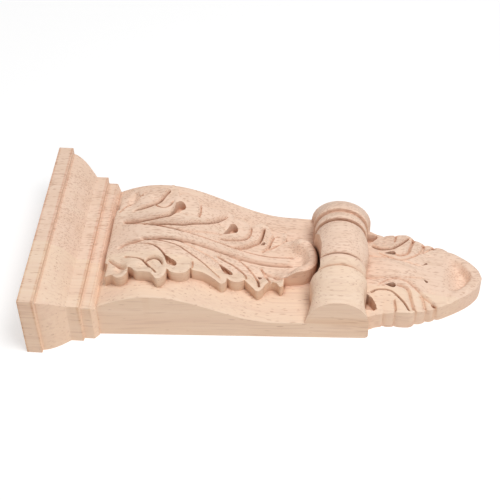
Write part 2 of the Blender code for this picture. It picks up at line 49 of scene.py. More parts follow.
# Body
BODY_START = 20.0
BODY_MID = 75.0
BODY_HALF_WIDTH_AT_MID = 34.65
BODY_TAPER = 0.045
BODY_CREST_X = 54.0
BODY_CREST_Z = 24.7
BODY_SHOULDER_FALL = 7.9
BODY_SHOULDER_LENGTH = 25.3
BODY_LOW_X = 110.0
BODY_LOW_Z = 9.3
BODY_END = 125.6

# Scroll roll: arches across the object, in runs for the drum, the grooves, the ring and the barrel.
# Each is given as its distance from the centre plane, its half width and the height of its top
ROLL_STEPS = 60
ROLL_MIDDLE = 135.5
ROLL_REACH = 32.0
ROLL_BASE_CHAMFER = 1.2
DRUM_ARCHES = [
    (ROLL_REACH, 13.9, 22.8), (30.5, 13.2, 23.8), (28.5, 12.3, 25.6), (26.5, 11.6, 27.6),
    (24.5, 11.3, 29.4), (22.5, 11.5, 30.7), (20.5, 12.2, 31.5), (18.7, 12.6, 31.9), (17.7, 12.3, 31.7),
]
OUTER_GROOVE_ARCHES = [(17.4, 10.4, 30.3), (16.5, 10.4, 30.3)]
RING_ARCHES = [
    (16.1, 10.9, 31.0), (15.0, 11.5, 31.9), (13.0, 11.9, 32.5), (11.7, 11.9, 32.6), (11.2, 11.6, 32.2),
]
INNER_GROOVE_ARCHES = [(11.0, 10.0, 30.6), (10.1, 10.0, 30.6)]
BARREL_ARCHES = [(9.8, 10.7, 31.7), (9.0, 11.3, 32.2), (5.0, 12.5, 33.0), (0.0, 13.0, 33.2)]

# Space cut free around the upper leaf's tip, where it meets the roll. It is wider on one side of the
# tip, so its outline is given from side to side
TIP_GAP = [
    (119.0, -16.6), (124.0, -16.6), (126.9, -15.6), (127.0, -12.0), (127.3, -4.0), (126.6, 0.0),
    (125.6, 4.0), (123.0, 7.6), (119.0, 9.0),
]
TIP_GAP_SPACING = 1.2
TIP_GAP_FLOOR = 11.0

# Upper leaf
LEAF_MIDDLE_THICKNESSES = [(30, 5.0), (60, 4.3), (80, 3.6), (100, 3.5), (115, 4.0)]
LEAF_EDGE_THICKNESS = 6.2
LEAF_EDGE_REACH = 7.0
LEAF_EDGE_START = 12.0
LEAF_LEAST_THICKNESS = 2.2
LEAF_ROOT_LEVEL = 5.0
LEAF_EYE_FLOOR = 0.6
TIP_RIM_START = 111.0
TIP_RIM_LENGTH = 7.0
TIP_RIM_RISE = 4.3
TIP_RIM_WIDTH = 3.0
TIP_RIM_SLOPE = 4.2
TIP_RIM_ROUND = 1.0
TIP_RIM_ROUND_REACH = 1.2

# Tail leaf
TAIL_START = 142.0
TAIL_LEAST_HALF_WIDTH = 4.0
TAIL_STEM_HALF_WIDTH = 6.2
TAIL_STEM_RISE = 1.2
TAIL_STEM_END = 176.0
TAIL_STEM_TAPER = 22.0
TAIL_STEM_FADE = 12.0
SPOON_START = 182.0
SPOON_LENGTH = 9.0
SPOON_DEPTH = 4.4
SPOON_HALF_WIDTH = 13.0
SPOON_RIM_WIDTHS = [(184, 2.6), (190, 3.2), (197, 4.2)]
SPOON_WALL = 3.2
SPOON_RIM_ROUND = 0.9
SPOON_RIM_ROUND_REACH = 2.4
SPOON_RIM_FADE = 4.0

# Levels that the pieces reach down to before the whole is cut off flat at its back
BODY_ROOT = -2.0
CAP_ROOT = -4.0
ROLL_ROOT = -3.0
TAIL_ROOT = -1.0

# Fineness of the carving: the mesh's spacing on the leaves and elsewhere, and the points of each curve
FINE = 0.46
LEAST_GAP = 0.62 * FINE
SURFACE_STEP = 1.2
EDGE_SPACING = 1.0
FOLD_SPACING = 1.0
CURVE_STEPS = 9
CORNER_STEPS = 5
EYE_STEPS = 25

# Points nearer than these are one: in the leaves' plan, in millimetres, and in their mesh, in metres.
# A ring of points ends a little way off its start, so that it isn't taken for the same point
SAME_CORNER = 1e-4
SAME_VERTEX = 1e-6
RING_GAP = 1e-3

# Edges that bend by more degrees than this stay sharp
SHARP_ANGLE = 38
# Distances are worked out for so many points at a time, to save memory
ROWS_AT_A_TIME = 1000

# Step down from a fold's crest, and the thin line cut along its foot
STEP_WIDTH = 0.9
STEP_SHARE = 0.75
DEEPEST_STEP = 2.4
LEAST_FADE = 0.01
LINE_DEPTH = 1.2
LINE_OFFSET = 0.75
LINE_REACH = 0.5
LINE_CLEARANCE = 0.25
HOLE_WALL = 0.35

# Rounding of edges and corners
GROOVE_ROUND = 0.22
EDGE_ROUND = 0.35
EDGE_ROUND_REACH = 0.5
CORNER_ROUND = 0.35
CAP_CORNER_ROUND = 0.3
# Most of a side that one rounded corner takes, and the cosine past which a corner counts as straight
ROUNDED_SHARE = 0.4
STRAIGHT_ENOUGH = -0.97

# Upper leaf edge, from its middle at the cap to its middle at the tip
LEAF_EDGE = [
    (31.5, 0.0), (31.6, 8.0), (31.9, 16.4), (33.3, 17.6), (33.2, 25.4),
    (36.2, 25.2), (38.4, 27.4), (41.2, 27.9), (43.3, 25.8),
    (43.4, 22.4), (45.2, 23.2), (47.2, 25.5), (51.0, 25.9), (54.2, 26.8),
    (56.8, 29.6), (59.2, 28.0), (60.3, 25.4), (60.5, 23.0), (62.6, 24.4),
    (65.8, 24.3), (68.8, 22.6), (70.4, 19.6), (71.4, 20.4), (76.0, 20.2),
    (80.4, 21.4), (83.8, 23.0), (85.8, 21.4), (86.3, 18.6), (88.2, 19.5),
    (91.4, 18.9), (93.8, 16.6), (95.0, 17.7), (97.6, 19.8), (99.6, 21.5),
    (101.6, 19.8), (103.0, 16.5), (105.0, 14.6), (107.9, 14.8), (109.6, 17.2),
    (110.9, 16.4), (111.2, 11.2), (115.0, 10.6), (119.0, 10.0), (122.0, 8.4),
    (124.4, 5.4), (125.5, 2.0), (125.6, 0.0),
]

# Carved folds of the upper leaf. Each has its curve, then height and reach on its outer and inner side,
# then the shares of its length over which it fades in and out
LEAF_FOLDS = [
    # Flank of the raised rib along the middle
    ([(33, 8.6), (40, 6.0), (48, 4.3), (56, 3.0), (64, 2.2), (78, 2.0), (96, 1.9), (116, 2.0)],
     -0.7, 1.6, 1.2, 10.0, 0.15, 0.05),
    # Fold of the long fourth lobe, standing over the one beside it
    ([(43, 4.9), (47, 4.9), (51, 5.5), (57.6, 6.3), (63.5, 7.4), (66.9, 9.2), (73.9, 12.7),
      (77.1, 14.9), (81.4, 18.5), (84.6, 21.9)],
     1.6, 2.8, -0.8, 2.0, 0.25, 0.25),
    # Fold of the third lobe, over the first eye
    ([(34.6, 10.2), (39.5, 8.4), (44.3, 7.8), (51, 8.8), (54.5, 10.4), (57.3, 12.8), (59.3, 16.7),
      (60.3, 20.6)],
     1.8, 2.6, -0.8, 1.6, 0.25, 0.1),
    # Curled edge of the second lobe
    ([(49.4, 18.2), (51, 16.4), (53.2, 15.3), (55.4, 15.4), (57.4, 16.9), (58.8, 19.6), (60, 22.6)],
     -1.6, 2.0, 0.9, 1.2, 0.2, 0.6),
    # Folds between the first lobes
    ([(38.3, 14.8), (42.2, 15.7), (47.6, 17.4), (50.5, 19.6), (53.2, 23), (55.8, 26.6)],
     1.3, 2.2, -1.0, 2.0, 0.3, 0.05),
    ([(33, 13.6), (36.4, 17.4), (40.7, 20.2), (43.2, 22.7)], -1.3, 2.4, 0.3, 1.2, 0.3, 0.0),
    # Fold beside the rib, running down to the second eye
    ([(50, 4.9), (56, 4.2), (63, 3.9), (68, 5.0), (72, 6.4), (77, 8.0), (82.4, 9.7)],
     0.6, 1.8, -0.4, 1.3, 0.2, 0.1),
    # Arched folds above the third lobe and above the second eye
    ([(59.2, 14.2), (62, 13.9), (64.5, 13), (67.4, 11.2)], -0.4, 1.2, 0.1, 1.0, 0.1, 0.5),
    ([(69.7, 13.6), (70.3, 16), (70.4, 19.6)], 0.2, 1.0, -1.4, 0.9, 0.3, 0.0),
    ([(74.5, 14.4), (77.5, 14.9), (80.5, 13.6), (82.9, 11.8)], -0.4, 1.0, 0.1, 0.9, 0.5, 0.1),
    # Fold that runs out between the fifth and sixth lobes
    ([(78.6, 5.6), (83, 6.9), (87.4, 8.5), (91.2, 10.6), (93.3, 13.1), (93.8, 16.4)],
     0.9, 1.7, -0.9, 1.5, 0.25, 0.0),
    # Fold of the sixth lobe and the trench before the end lobe
    ([(84.4, 3.6), (88.4, 3.8), (91, 5.0), (93.2, 6.5), (95.4, 8.7), (97.3, 10.8), (99.0, 14.3),
      (99.8, 19.2)],
     1.3, 2.2, -1.2, 1.8, 0.3, 0.08),
    ([(98.6, 4.4), (100.4, 6.5), (101.9, 8.6), (102.8, 11), (103.8, 13.2), (104.8, 15.2)],
     0.4, 1.4, -1.6, 1.6, 0.35, 0.0),
    # Rim of the end lobe
    ([(101.5, 6.2), (105, 8.4), (108.5, 10.2), (111.1, 11.2)], -0.9, 3.0, 0.4, 2.6, 0.3, 0.0),
]

# Drilled eyes of the upper leaf: pointed end, round end, radius, depth of the hollow that runs into it
LEAF_EYES = [
    ((57.8, 12.0), (61.9, 17.9), 2.3, 1.0),
    ((81.4, 9.0), (86.3, 13.9), 2.0, 0.8),
    ((98.9, 10.0), (100.3, 10.9), 0.8, 0.5),
]
EYE_HOLLOW_START = 1.0
EYE_HOLLOW_REACH = 3.2
EYE_SLOPE = 0.4
# Bowls hollowed out of the lobes: middle, reach along and across the object, depth
LEAF_BOWLS = [
    (39.4, 22.4, 3.8, 4.8, 1.5), (51.0, 21.4, 5.6, 4.4, 1.2), (107.0, 12.2, 3.8, 3.0, 1.2),
]

# Tail leaf edge, from beside the roll to the middle of the tip
TAIL_EDGE = [
    (TAIL_START, 28.0), (149.4, 26.4), (152.4, 25.0), (154.8, 24.4), (155.6, 23.7), (157.4, 24.2),
    (160.0, 24.0), (160.7, 23.4), (162.6, 24.0), (166.6, 24.0), (168.8, 23.2), (169.9, 21.8),
    (171.8, 21.7), (173.8, 20.9), (174.6, 19.9), (176.4, 20.1), (178.2, 19.3), (178.9, 18.4),
    (180.8, 18.4), (185.0, 16.2), (190.0, 13.0), (194.0, 9.9), (196.8, 6.9), (198.8, 3.9), (200.0, 0.0),
]

# Heights of the tail leaf along its centre and along its edge
TAIL_CENTRE_HEIGHTS = [
    (142, 13.3), (152, 13.4), (158, 13.6), (165, 12.8), (175, 10.9), (184, 10.0), (200, 10.2),
]
TAIL_EDGE_HEIGHTS = [
    (142, 9.6), (150, 9.2), (155, 8.8), (160, 9.8), (166, 10.4), (169, 9.4), (174, 8.2), (179, 8.2),
    (183, 9.2), (188, 10.2), (200, 10.4),
]

# Carved folds of the tail leaf, given as those of the upper leaf
TAIL_FOLDS = [
    # Deep slot that runs out between the middle lobes
    ([(160.2, 8.6), (163.6, 8.9), (166.2, 10.2), (167.6, 12.4), (168.2, 15.2), (169, 18.2),
      (169.9, 21.8)],
     -2.6, 1.5, -1.0, 0.9, 0.15, 0.0),
    # Ridge from the stem to the fourth lobe, falling away outwards
    ([(151, 10.8), (154.7, 7.9), (159.8, 5.4), (164.9, 5.6), (169.3, 8.6), (173, 12.2), (176.8, 15.4),
      (180.4, 18.2)],
     -0.7, 1.8, 0.6, 2.4, 0.2, 0.1),
    # Edge of the stem
    ([(146, 6.4), (155, 5.6), (163, 4.5), (170, 3.4), (176, 2.2)], -0.5, 2.0, 0.4, 2.4, 0.1, 0.3),
    # Ridge of the second lobe over the fold beside it
    ([(149.7, 15.4), (153.5, 13.2), (158.6, 13.7), (162.3, 16.8), (165.2, 20.4), (166.9, 23.6)],
     0.8, 2.6, -1.5, 1.8, 0.1, 0.1),
    # Slots that run out to the edge between the lobes
    ([(159.6, 17.2), (160.3, 20.4), (160.7, 23.4)], 0.4, 1.2, -1.2, 0.9, 0.3, 0.0),
    ([(172.2, 12.3), (173.6, 15), (174.3, 17.8), (174.6, 19.9)], -2.8, 1.0, -1.6, 0.9, 0.2, 0.0),
    ([(177.5, 16.3), (178.9, 18.4)], -2.4, 0.8, -1.4, 0.8, 0.3, 0.0),
    # Shallow creases before the tip
    ([(174.5, 9.3), (176.6, 10.7), (179.2, 10.5)], -0.8, 0.9, -0.3, 0.8, 0.3, 0.3),
    ([(183.6, 9.5), (184.3, 13), (185, 16.2)], -0.8, 0.8, -0.5, 0.8, 0.4, 0.0),
]

# Drilled eyes of the tail leaf: pointed end, round end, radius, depth
TAIL_EYES = [
    ((155.6, 9.6), (159.7, 9.9), 1.35, 3.4),
    ((173.4, 4.4), (175.0, 5.6), 0.6, 2.2),
]
# Pocket beside the roll
TAIL_POCKET = [
    (144.0, 15.4), (148.0, 15.7), (150.3, 17.3), (152.3, 20.6), (152.7, 22.4), (151.6, 23.2),
    (144.0, 23.2),
]
TAIL_POCKET_LEVEL = 6.0

# Where the lobes of each edge meet in sharp notches
LEAF_NOTCHES = [
    (31.9, 16.4), (33.3, 17.6), (33.2, 25.4), (43.4, 22.4), (60.5, 23.0), (70.4, 19.6), (86.3, 18.6),
    (93.8, 16.6), (103.0, 16.5), (110.9, 16.4), (111.2, 11.2),
]
TAIL_NOTCHES = [
    (TAIL_START, 28.0), (155.6, 23.7), (160.7, 23.4), (169.9, 21.8), (174.6, 19.9), (178.9, 18.4),
]

# Shelter of each point, for the material: how far its rays reach, in metres, and how many there are
CREASE_RAYS = (0.006, 20)
THICKNESS_RAYS = (0.0012, 10)
RAY_LIFT = 2e-5

# Glued staves: their colours, and the width over which each glue joint blends
MIDDLE_STAVE = (0.87, 0.55, 0.415, 1)
NEAR_STAVE = (0.86, 0.585, 0.395, 1)
FAR_STAVE = (0.83, 0.525, 0.385, 1)
NEAR_JOINT = (-8.6, -8.2)
FAR_JOINT = (36.0, 36.4)

# Patterns of the grain: how many to the millimetre along the object, across it and upwards
DRIFT = (0.012, 0.03, 0.03)
DRIFT_REACH = (0.0, 9.0, 9.0)
RINGS = (0.006, 0.15, 0.15)
FIBRES = (0.035, 0.95, 0.95)
PORE_PATCHES = (0.035, 0.10, 0.10)
FUZZ = (1.2, 5.0, 5.0)

# Marks on the wood, then the painted dark shade in its creases: the span of the pattern over which each
# sets in and its least and greatest share, then its colour
RING_MARKS = [
    ((0.45, 0.70, 0.0, 0.8), (0.76, 0.445, 0.30, 1)),
    ((0.45, 0.28, 0.0, 0.55), (0.93, 0.68, 0.51, 1)),
]
FIBRE_MARKS = [
    ((0.52, 0.68, 0.0, 0.75), (0.62, 0.33, 0.20, 1)),
    ((0.46, 0.28, 0.0, 0.35), (0.97, 0.77, 0.62, 1)),
]
RUBBED_MARKS = [((0.62, 0.3, 0.0, 0.6), (1.0, 0.80, 0.64, 1))]
# Painted shade, dark brown, in the creases and eyes that nearby wood shuts in
CREASE_PAINTED_SHADE = [((0.37, 0.6, 0.0, 0.85), (0.36, 0.16, 0.085, 1))]

# Pores: how many to the millimetre along and across the grain, how their edges fade, the span of their
# patches, and the share of them left in the near stave and on the sides
LONG_PORES = (0.19, 1.2)
SHORT_PORES = (0.33, 1.8)
PORE_EDGE = (0.42, 0.16)
PORE_PLENTY = (0.36, 0.6, 0.25, 1.0)
NEAR_STAVE_PLENTY = 0.25
SIDE_PLENTY = 0.15
PORE_SHARE = 0.42
PORE_COLOUR = (0.48, 0.23, 0.13, 1)

# Painted shade that the steep sides and the hollows are multiplied by, and where it sets in
SIDE_PAINTED_SHADE = (0.92, 0.88, 0.85, 1)
SIDE_SPAN = (0.25, 0.08)
HOLLOW_PAINTED_SHADE = (0.81, 0.73, 0.69, 1)
HOLLOW_SPAN = (0.10, 0.42)

# Finish of the bare wood
ROUGHNESS = (0.3, 0.7, 0.55, 0.72)
SHEEN = 0.2
FIBRE_RELIEF = 0.35
FUZZ_RELIEF = 0.3
PORE_RELIEF = 0.3
BUMP_STRENGTH = 0.7
BUMP_DEPTH = 0.0003

# Floor, lamps (place, size and power) and camera
FLOOR_REACH = 3.0
FLOOR_COLOUR = (0.62, 0.62, 0.62, 1)
FLOOR_ROUGHNESS = 0.9
FLOOR_GLOW = 0.5
SKY = 0.26
WHITE = (1, 1, 1, 1)
KEY_LAMP = ((0.28, -0.22, 0.93), 0.4, 6.3)
FILL_LAMP = ((-0.6, 0.3, 0.9), 0.8, 1.4)
CAMERA_PLACE = (0.032784, -0.389175, 0.424515)
CAMERA_TURN = (44.14742, 0.89121, 4.62934)
CAMERA_SENSOR = 36
CAMERA_LENS = 89.67
CAMERA_SHIFT = -0.00504
CAMERA_NEAREST = 0.01


def blocks(count):
    """Slices that cover so many rows, a block at a time."""
    return [slice(i, min(i + ROWS_AT_A_TIME, count)) for i in range(0, count, ROWS_AT_A_TIME)]


def through(points):
    """Close points along a smooth curve through the given ones."""
    knots = np.array(points, float)
    if len(knots) == 2:
        return knots
    padded = np.vstack([2 * knots[0] - knots[1], knots, 2 * knots[-1] - knots[-2]])
    steps = np.linspace(0, 1, CURVE_STEPS)[:, None]
    pieces = []
    for a, b, c, d in zip(padded, padded[1:], padded[2:], padded[3:]):
        pieces.append(
            0.5 * (2 * b + (c - a) * steps + (2 * a - 5 * b + 4 * c - d) * steps**2
                   + (3 * b - a - 3 * c + d) * steps**3)[:-1]
        )
    return np.vstack(pieces + [knots[-1:]])


def flowing(points, spacing):
    """Points evenly spaced along a smooth curve through the given ones."""
    return spaced(through(points), spacing)


def spaced(line, spacing):
    """The line's points, evenly spaced along its length."""
    reach = np.concatenate([[0], np.cumsum(np.linalg.norm(np.diff(line, axis=0), axis=1))])
    count = max(2, int(round(reach[-1] / spacing)) + 1)
    at = np.linspace(0, reach[-1], count)
    return np.stack([np.interp(at, reach, line[:, 0]), np.interp(at, reach, line[:, 1])], 1)


def lobed(corners, notches, spacing):
    """A lobed edge: smooth curves that meet in sharp notches."""
    starts = sorted({0, len(corners) - 1}.union(corners.index(notch) for notch in notches))
    runs = []
    for a, b in zip(starts, starts[1:]):
        runs.append(flowing(corners[a:b + 1], spacing)[:-1])
    return np.vstack(runs + [np.array(corners[-1:], float)])


def shifted(line, distance):
    """The line moved to its left."""
    heading = np.gradient(line, axis=0)
    heading /= np.linalg.norm(heading, axis=1)[:, None]
    return line + np.stack([-heading[:, 1], heading[:, 0]], 1) * distance


def teardrop(tip, centre, radius, grow, steps):
    """Outline of a drilled eye: a point and a round end, grown outwards by the given distance."""
    tip = np.array(tip, float)
    centre = np.array(centre, float)
    along = centre - tip
    reach = np.linalg.norm(along)
    heading = math.atan2(along[1], along[0])
    lean = math.acos(radius / reach)
    turns = np.linspace(heading + math.pi - lean, heading - math.pi + lean, steps)
    outline = [tip - along / reach * grow]
    for turn in turns:
        outline.append(centre + (radius + grow) * np.array([math.cos(turn), math.sin(turn)]))
    return np.array(outline)


def nearest(line, points):
    """For each point: signed distance to the line (positive on its left) and share of its length."""
    start = line[:-1]
    step = line[1:] - start
    size = np.einsum("ij,ij->i", step, step)
    reach = np.concatenate([[0], np.cumsum(np.sqrt(size))])
    gap = np.zeros(len(points))
    at = np.zeros(len(points))
    for block in blocks(len(points)):
        away = points[block, None, :] - start[None]
        share = np.clip(np.einsum("pij,ij->pi", away, step) / size, 0, 1)
        rest = away - share[..., None] * step
        distance = np.einsum("pij,pij->pi", rest, rest)
        pick = distance.argmin(axis=1)
        row = np.arange(len(pick))
        cross = step[pick, 0] * away[row, pick, 1] - step[pick, 1] * away[row, pick, 0]
        gap[block] = np.where(cross >= 0, 1, -1) * np.sqrt(distance[row, pick])
        at[block] = (reach[pick] + share[row, pick] * np.sqrt(size[pick])) / reach[-1]
    return gap, at


def inside(outline, points):
    """Which points lie inside a closed outline."""
    found = np.zeros(len(points), bool)
    for a, b in zip(outline, np.roll(outline, -1, axis=0)):
        spans = (a[1] > points[:, 1]) != (b[1] > points[:, 1])
        rise = b[1] - a[1] if b[1] != a[1] else 1.0
        found ^= spans & (points[:, 0] < (b[0] - a[0]) * (points[:, 1] - a[1]) / rise + a[0])
    return found


def eased(value):
    """Rises smoothly from 0 to 1 as the value does."""
    value = np.clip(value, 0, 1)
    return value * value * (3 - 2 * value)


def folded(points, folds):
    """Sum of the carved folds' heights."""
    height = np.zeros(len(points))
    for curve, outer, outer_reach, inner, inner_reach, fade_in, fade_out in folds:
        distance, at = nearest(flowing(curve, FOLD_SPACING), points)
        strength = eased(at / max(fade_in, LEAST_FADE)) * eased((1 - at) / max(fade_out, LEAST_FADE))
        side = eased(distance / STEP_WIDTH + 0.5)
        height += STEP_SHARE * strength * (
            side * outer * np.exp(-np.abs(distance) / outer_reach)
            + (1 - side) * inner * np.exp(-np.abs(distance) / inner_reach)
        )
        foot = distance + foot_side(outer, inner) * LINE_OFFSET
        depth = LINE_DEPTH * min(1, abs(outer - inner) / DEEPEST_STEP) * eased(2 * strength)
        height -= depth * np.clip(1 - np.abs(foot) / LINE_REACH, 0, 1)
    return height


def foot_side(outer, inner):
    """Which way from a fold's curve its lower side lies: 1 for the inner side, -1 for the outer."""
    return 1 if outer > inner else -1


def share_along(start, end, points):
    """How far each point is along the way from the start to the end, as a share of it."""
    way = np.array(end, float) - start
    return (points - start) @ way / (way @ way)


def lowered(height, outline, points, floor):
    """The height with a steep-sided pocket sunk to the floor."""
    distance, _ = nearest(np.vstack([outline, outline[:1]]), points)
    depth = np.where(inside(outline, points), np.abs(distance), 0) / HOLE_WALL
    return height + (np.minimum(floor, height) - height) * np.clip(depth, 0, 1)


def body_half_width(x):
    """Half the tapering body's width."""
    return BODY_HALF_WIDTH_AT_MID - BODY_TAPER * (x - BODY_MID)


def ground(x):
    """Height of the body's swept top."""
    x = np.asarray(x, float)
    shoulder = BODY_CREST_Z - BODY_SHOULDER_FALL * ((BODY_CREST_X - x) / BODY_SHOULDER_LENGTH) ** 2
    turn = np.clip((x - BODY_CREST_X) / (BODY_LOW_X - BODY_CREST_X), 0, 1)
    sweep = BODY_LOW_Z + (BODY_CREST_Z - BODY_LOW_Z) * (0.5 + 0.5 * np.cos(math.pi * turn))
    return np.where(x < BODY_CREST_X, shoulder, sweep)


def leaf_height(points):
    """Height of the upper leaf's carved top."""
    x, across = points[:, 0], points[:, 1]
    edge = lobed(LEAF_EDGE, LEAF_NOTCHES, EDGE_SPACING)
    from_edge = np.abs(nearest(edge, points)[0])
    middle = np.interp(x, *np.transpose(LEAF_MIDDLE_THICKNESSES))
    near_edge = (1 - eased(from_edge / LEAF_EDGE_REACH)) * eased(across / LEAF_EDGE_START)
    thickness = middle + (LEAF_EDGE_THICKNESS - middle) * near_edge + folded(points, LEAF_FOLDS)
    curl = eased((x - TIP_RIM_START) / TIP_RIM_LENGTH)
    slope = eased((from_edge - TIP_RIM_WIDTH * curl) / TIP_RIM_SLOPE)
    thickness += curl * TIP_RIM_RISE * (1 - slope)
    thickness -= curl * TIP_RIM_ROUND * np.exp(-from_edge / TIP_RIM_ROUND_REACH)
    thickness -= EDGE_ROUND * np.exp(-from_edge / EDGE_ROUND_REACH)
    base = ground(x)
    height = base + np.maximum(thickness, LEAF_LEAST_THICKNESS)
    for tip, centre, radius, hollow in LEAF_EYES:
        away = np.hypot(x - tip[0] - EYE_HOLLOW_START, across - tip[1])
        height -= hollow * np.exp(-((away / EYE_HOLLOW_REACH) ** 2))
        outline = teardrop(tip, centre, radius, 0, EYE_STEPS)
        slope = eased(share_along(tip, centre, points) / EYE_SLOPE)
        sunk = height + (base + LEAF_EYE_FLOOR - height) * slope
        height = lowered(height, outline, points, sunk)
    for middle_x, middle_y, reach_x, reach_y, depth in LEAF_BOWLS:
        away = np.hypot((x - middle_x) / reach_x, (across - middle_y) / reach_y)
        height -= depth * (1 - eased(away))
    return height


def tail_height(points):
    """Height of the tail leaf's carved top."""
    x, across = points[:, 0], points[:, 1]
    edge = lobed(TAIL_EDGE, TAIL_NOTCHES, EDGE_SPACING)
    from_edge = np.abs(nearest(edge, points)[0])
    half_width = np.maximum(np.interp(x, *np.transpose(TAIL_EDGE)), TAIL_LEAST_HALF_WIDTH)
    centre = np.interp(x, *np.transpose(TAIL_CENTRE_HEIGHTS))
    rim = np.interp(x, *np.transpose(TAIL_EDGE_HEIGHTS))
    height = centre - (centre - rim) * np.clip(across / half_width, 0, 1) ** 2
    to_stem_end = np.maximum(TAIL_STEM_END - x, 1)
    stem_width = TAIL_STEM_HALF_WIDTH * np.clip(to_stem_end / TAIL_STEM_TAPER, 0, 1)
    stem = np.clip(1 - (across / stem_width) ** 2, 0, 1)
    height += TAIL_STEM_RISE * stem * eased(to_stem_end / TAIL_STEM_FADE)
    height += folded(points, TAIL_FOLDS)
    bowl = np.clip(1 - (across / SPOON_HALF_WIDTH) ** 2, 0, 1)
    bowl *= eased((x - SPOON_START) / SPOON_LENGTH)
    rim_width = np.interp(x, *np.transpose(SPOON_RIM_WIDTHS))
    height -= SPOON_DEPTH * bowl * eased((from_edge - rim_width) / SPOON_WALL)
    at_tip = eased((x - SPOON_START) / SPOON_RIM_FADE)
    height -= at_tip * SPOON_RIM_ROUND * np.clip(1 - from_edge / SPOON_RIM_ROUND_REACH, 0, 1) ** 2
    height -= EDGE_ROUND * np.exp(-from_edge / EDGE_ROUND_REACH)
    for tip, round_end, radius, depth in TAIL_EYES:
        outline = teardrop(tip, round_end, radius, 0, EYE_STEPS)
        height = lowered(height, outline, points, height - depth)
    return lowered(height, np.array(TAIL_POCKET), points, TAIL_POCKET_LEVEL)


def placed(x, y, z):
    """A point of the object from millimetres measured from the cap's top face."""
    return Vector((x - LENGTH / 2, y, z)) * MILLIMETRE


def new_object(name, mesh_builder):
    """An object whose mesh is the finished mesh builder, with its faces turned outwards."""
    bmesh.ops.recalc_face_normals(mesh_builder, faces=mesh_builder.faces)
    mesh = bpy.data.meshes.new(name)
    mesh_builder.to_mesh(mesh)
    mesh_builder.free()
    made = bpy.data.objects.new(name, mesh)
    bpy.context.collection.objects.link(made)
    return made


def softened(line, radius):
    """The line with its corners rounded off."""
    line = [np.array(p, float) for p in line]
    soft = [line[0]]
    for before, corner, after in zip(line, line[1:], line[2:]):
        back = before - corner
        ahead = after - corner
        back_length = np.linalg.norm(back)
        ahead_length = np.linalg.norm(ahead)
        if np.dot(back, ahead) / back_length / ahead_length < STRAIGHT_ENOUGH:
            soft.append(corner)
            continue
        reach = min(radius, ROUNDED_SHARE * back_length, ROUNDED_SHARE * ahead_length)
        start = corner + back / back_length * reach
        end = corner + ahead / ahead_length * reach
        for t in np.linspace(0, 1, CORNER_STEPS):
            soft.append((1 - t) ** 2 * start + 2 * t * (1 - t) * corner + t * t * end)
    return soft + [line[-1]]


def filled_in(line, spacing):
    """The line with further points along its longer stretches."""
    full = []
    for start, end in zip(line, line[1:]):
        way = np.array(end) - np.array(start)
        count = max(1, int(math.ceil(np.linalg.norm(way) / spacing)))
        for i in range(count):
            full.append(np.array(start) + way * i / count)
    return full + [np.array(line[-1], float)]


def lofted(name, sections):
    """A closed solid through sections that have the same number of points."""
    builder = bmesh.new()
    rings = []
    for section in sections:
        rings.append([builder.verts.new(placed(*point)) for point in section])
    for ring, following in zip(rings, rings[1:]):
        for i in range(len(ring)):
            j = (i + 1) % len(ring)
            builder.faces.new((ring[i], ring[j], following[j], following[i]))
    builder.faces.new(reversed(rings[0]))
    builder.faces.new(rings[-1])
    return new_object(name, builder)


def carved(name, edge, lines, height, root):
    """A closed solid over a lobed edge and its mirror image, with a carved top and a flat root."""
    middle = spaced(np.array([edge[-1], edge[0]]), FINE)
    border = np.vstack([edge, middle[1:-1]])
    fixed = np.vstack([border] + lines)
    low, high = border.min(axis=0), border.max(axis=0)
    rows = np.arange(low[1], high[1], FINE * math.sqrt(0.75))
    cells = []
    for i, row in enumerate(rows):
        columns = np.arange(low[0] + FINE / 2 * (i % 2), high[0], FINE)
        cells.append(np.stack([columns, np.full(len(columns), row)], 1))
    cells = np.vstack(cells)
    cells = cells[inside(border, cells)]
    gaps = np.zeros(len(cells))
    for block in blocks(len(cells)):
        away = cells[block, None] - fixed[None]
        gaps[block] = np.einsum("pij,pij->pi", away, away).min(axis=1)
    cells = cells[gaps > LEAST_GAP**2]
    links = [(i, (i + 1) % len(border)) for i in range(len(border))]
    first = len(border)
    for line in lines:
        links += [(first + i, first + i + 1) for i in range(len(line) - 1)]
        first += len(line)
    corners = [Vector(p) for p in np.vstack([fixed, cells])]
    flat, _, faces, _, _, _ = geometry.delaunay_2d_cdt(corners, links, [], 0, SAME_CORNER)
    flat = np.array([tuple(p) for p in flat])
    centres = np.array([flat[list(face)].mean(axis=0) for face in faces])
    tops = height(flat)
    builder = bmesh.new()
    kept_faces = [face for face, kept in zip(faces, inside(border, centres)) if kept]
    for side in (1, -1):
        verts = [builder.verts.new(placed(p[0], side * p[1], z)) for p, z in zip(flat, tops)]
        for face in kept_faces:
            builder.faces.new([verts[i] for i in face])
    loose = [v for v in builder.verts if not v.link_faces]
    bmesh.ops.delete(builder, geom=loose, context="VERTS")
    bmesh.ops.remove_doubles(builder, verts=builder.verts, dist=SAME_VERTEX)
    bmesh.ops.recalc_face_normals(builder, faces=builder.faces)
    rim = [e for e in builder.edges if e.is_boundary]
    walls = bmesh.ops.extrude_edge_only(builder, edges=rim)["geom"]
    for vert in (g for g in walls if isinstance(g, bmesh.types.BMVert)):
        vert.co.z = root * MILLIMETRE
    foot = [g for g in walls if isinstance(g, bmesh.types.BMEdge) and g.is_boundary]
    bmesh.ops.edgeloop_fill(builder, edges=foot)
    return new_object(name, builder)


